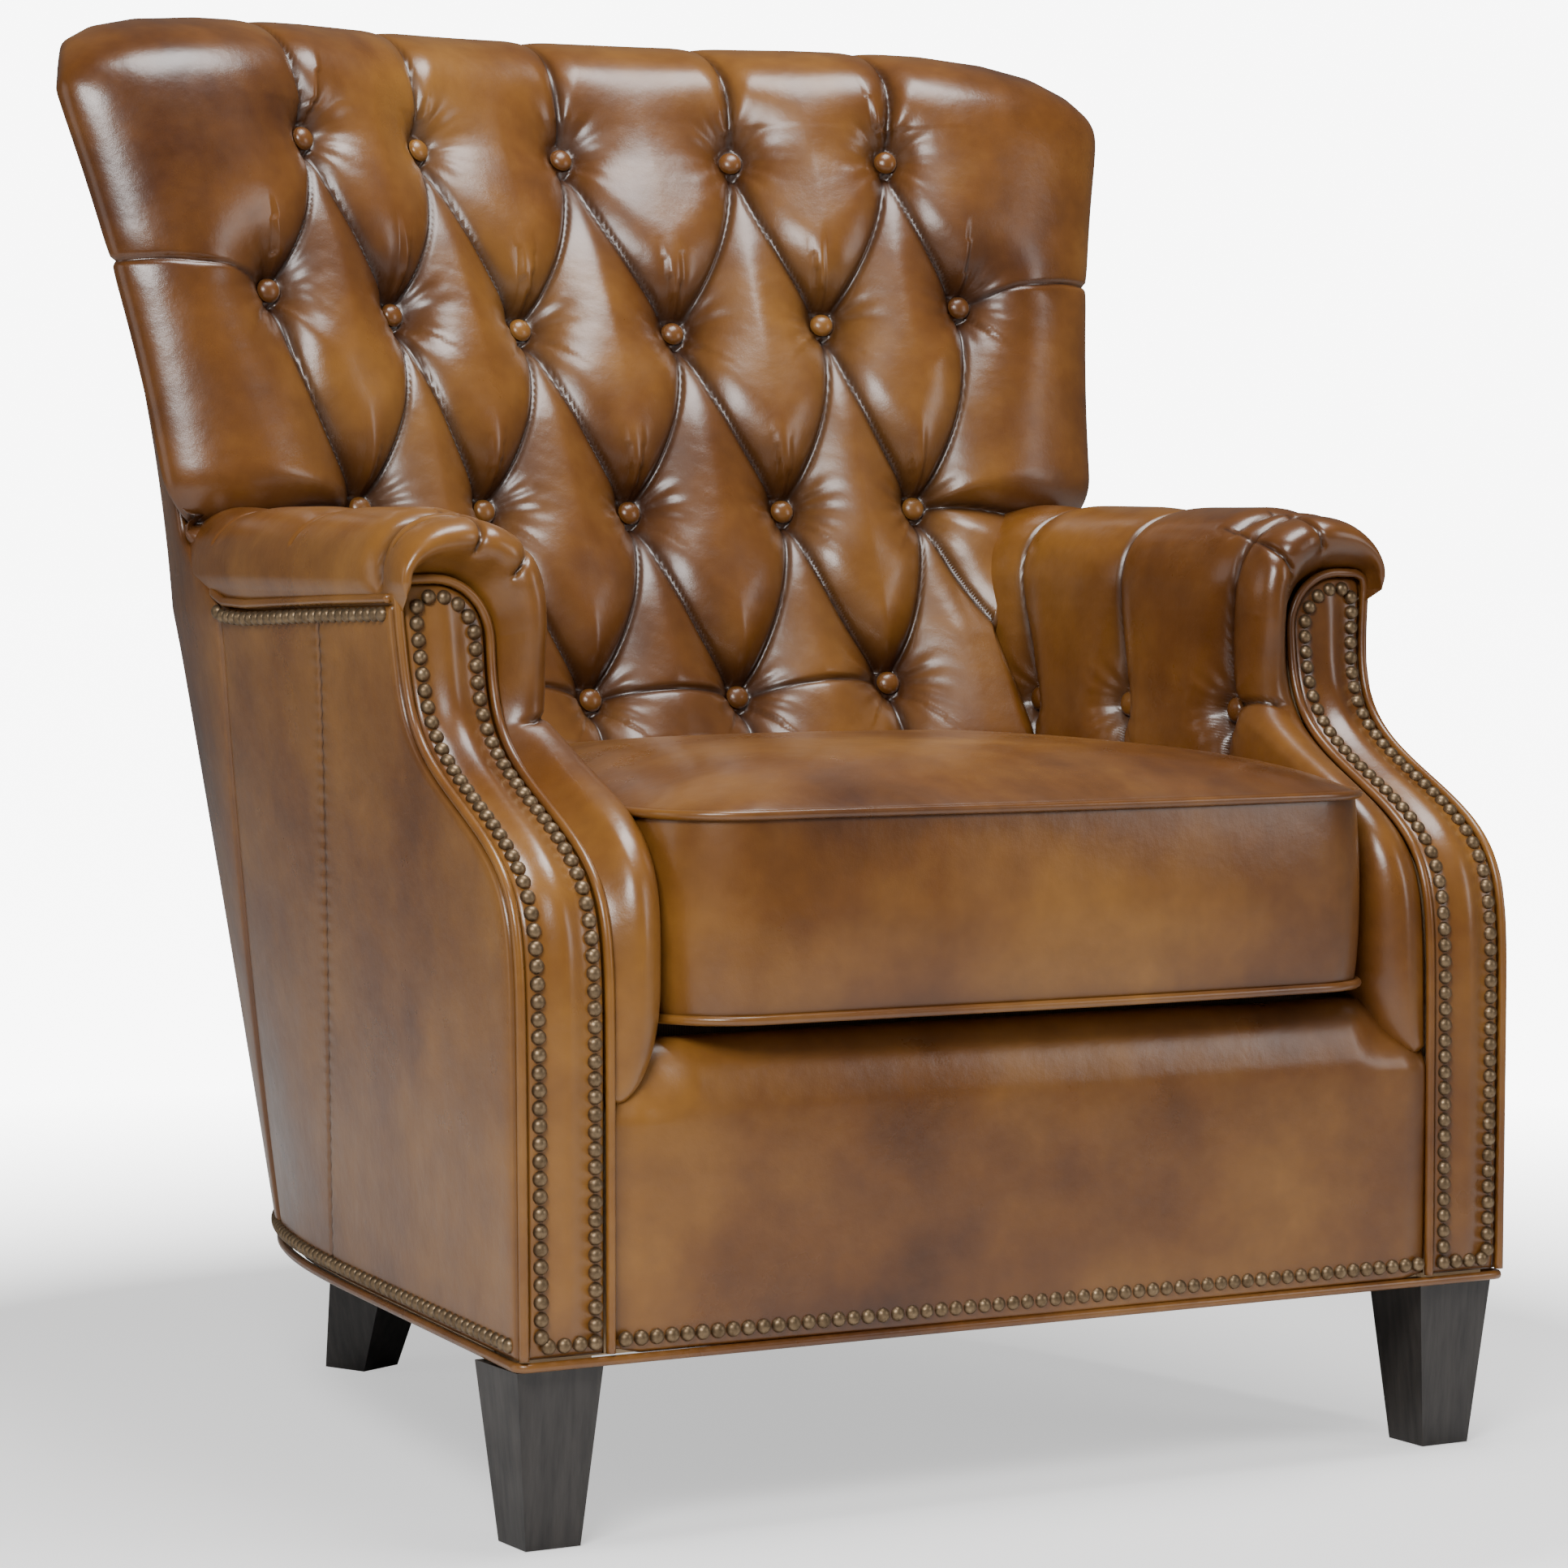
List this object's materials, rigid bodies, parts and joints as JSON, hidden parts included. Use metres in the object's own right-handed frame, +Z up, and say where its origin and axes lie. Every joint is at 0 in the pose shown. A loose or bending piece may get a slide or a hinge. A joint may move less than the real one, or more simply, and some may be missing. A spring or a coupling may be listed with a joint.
{
  "type": "upholstered armchair",
  "caption": "Button-tufted tan leather armchair with low rolled arms set back in an S, nail-head trim, tapered dark legs and a loose box seat cushion.",
  "frame": {"origin": "middle of the bounding box's footprint, on the floor", "axes": "+Z up, -Y towards the front of the chair, +X to the sitter's left"},
  "size_m": [0.8964, 0.9003, 1.053],
  "materials": {
    "leather": "satin pull-up",
    "leg_wood": "satin espresso stain",
    "frame_wood": "raw hardwood",
    "nail_brass": "antiqued",
    "spring_steel": "drawn wire",
    "bolt_steel": "zinc plated",
    "foam": "open-cell seat foam",
    "deck_cloth": "woven decking",
    "dust_cloth": "non-woven"
  },
  "bodies": {
    "chair": {"arm_panel_left": "leather", "arm_panel_nails_left": "nail_brass", "arm_panel_nails_right": "nail_brass", "arm_panel_right": "leather", "arm_panel_welt_left": "leather", "arm_panel_welt_right": "leather", "arm_post_left": "frame_wood", "arm_post_right": "frame_wood", "arm_rail_left": "frame_wood", "arm_rail_right": "frame_wood", "arm_seam_nails_left": "nail_brass", "arm_seam_nails_right": "nail_brass", "arm_seam_welt_left": "leather", "arm_seam_welt_right": "leather", "back_edge_nails": "nail_brass", "back_post_left": "frame_wood", "back_post_right": "frame_wood", "back_top_rail": "frame_wood", "base_nails": "nail_brass", "base_welt": "leather", "dust_cover": "dust_cloth", "front_border": "leather", "front_border_nails": "nail_brass", "front_corner_block_left": "frame_wood", "front_corner_block_right": "frame_wood", "front_leg_left": "leg_wood", "front_leg_left_bolt": "bolt_steel", "front_leg_right": "leg_wood", "front_leg_right_bolt": "bolt_steel", "front_rail": "frame_wood", "inside_arm_left": "leather", "inside_arm_right": "leather", "inside_back": "leather", "outside_arm_left": "leather", "outside_arm_right": "leather", "outside_back": "leather", "rear_corner_block_left": "frame_wood", "rear_corner_block_right": "frame_wood", "rear_leg_left": "leg_wood", "rear_leg_left_bolt": "bolt_steel", "rear_leg_right": "leg_wood", "rear_leg_right_bolt": "bolt_steel", "rear_rail": "frame_wood", "seat_deck": "deck_cloth", "seat_spring_1": "spring_steel", "seat_spring_2": "spring_steel", "seat_spring_3": "spring_steel", "seat_spring_4": "spring_steel", "seat_spring_5": "spring_steel", "side_rail_left": "frame_wood", "side_rail_right": "frame_wood"},
    "seat_cushion": {"cushion_band": "leather", "cushion_bottom": "leather", "cushion_core": "foam", "cushion_top": "leather", "cushion_welt_bottom": "leather", "cushion_welt_top": "leather", "cushion_zip": "bolt_steel"}
  },
  "joints": [
    {"name": "cushion_lift", "type": "slide", "parent": "chair", "child": "seat_cushion", "axis": [0, 0, 1], "range_m": [0, 0.38]}
  ]
}
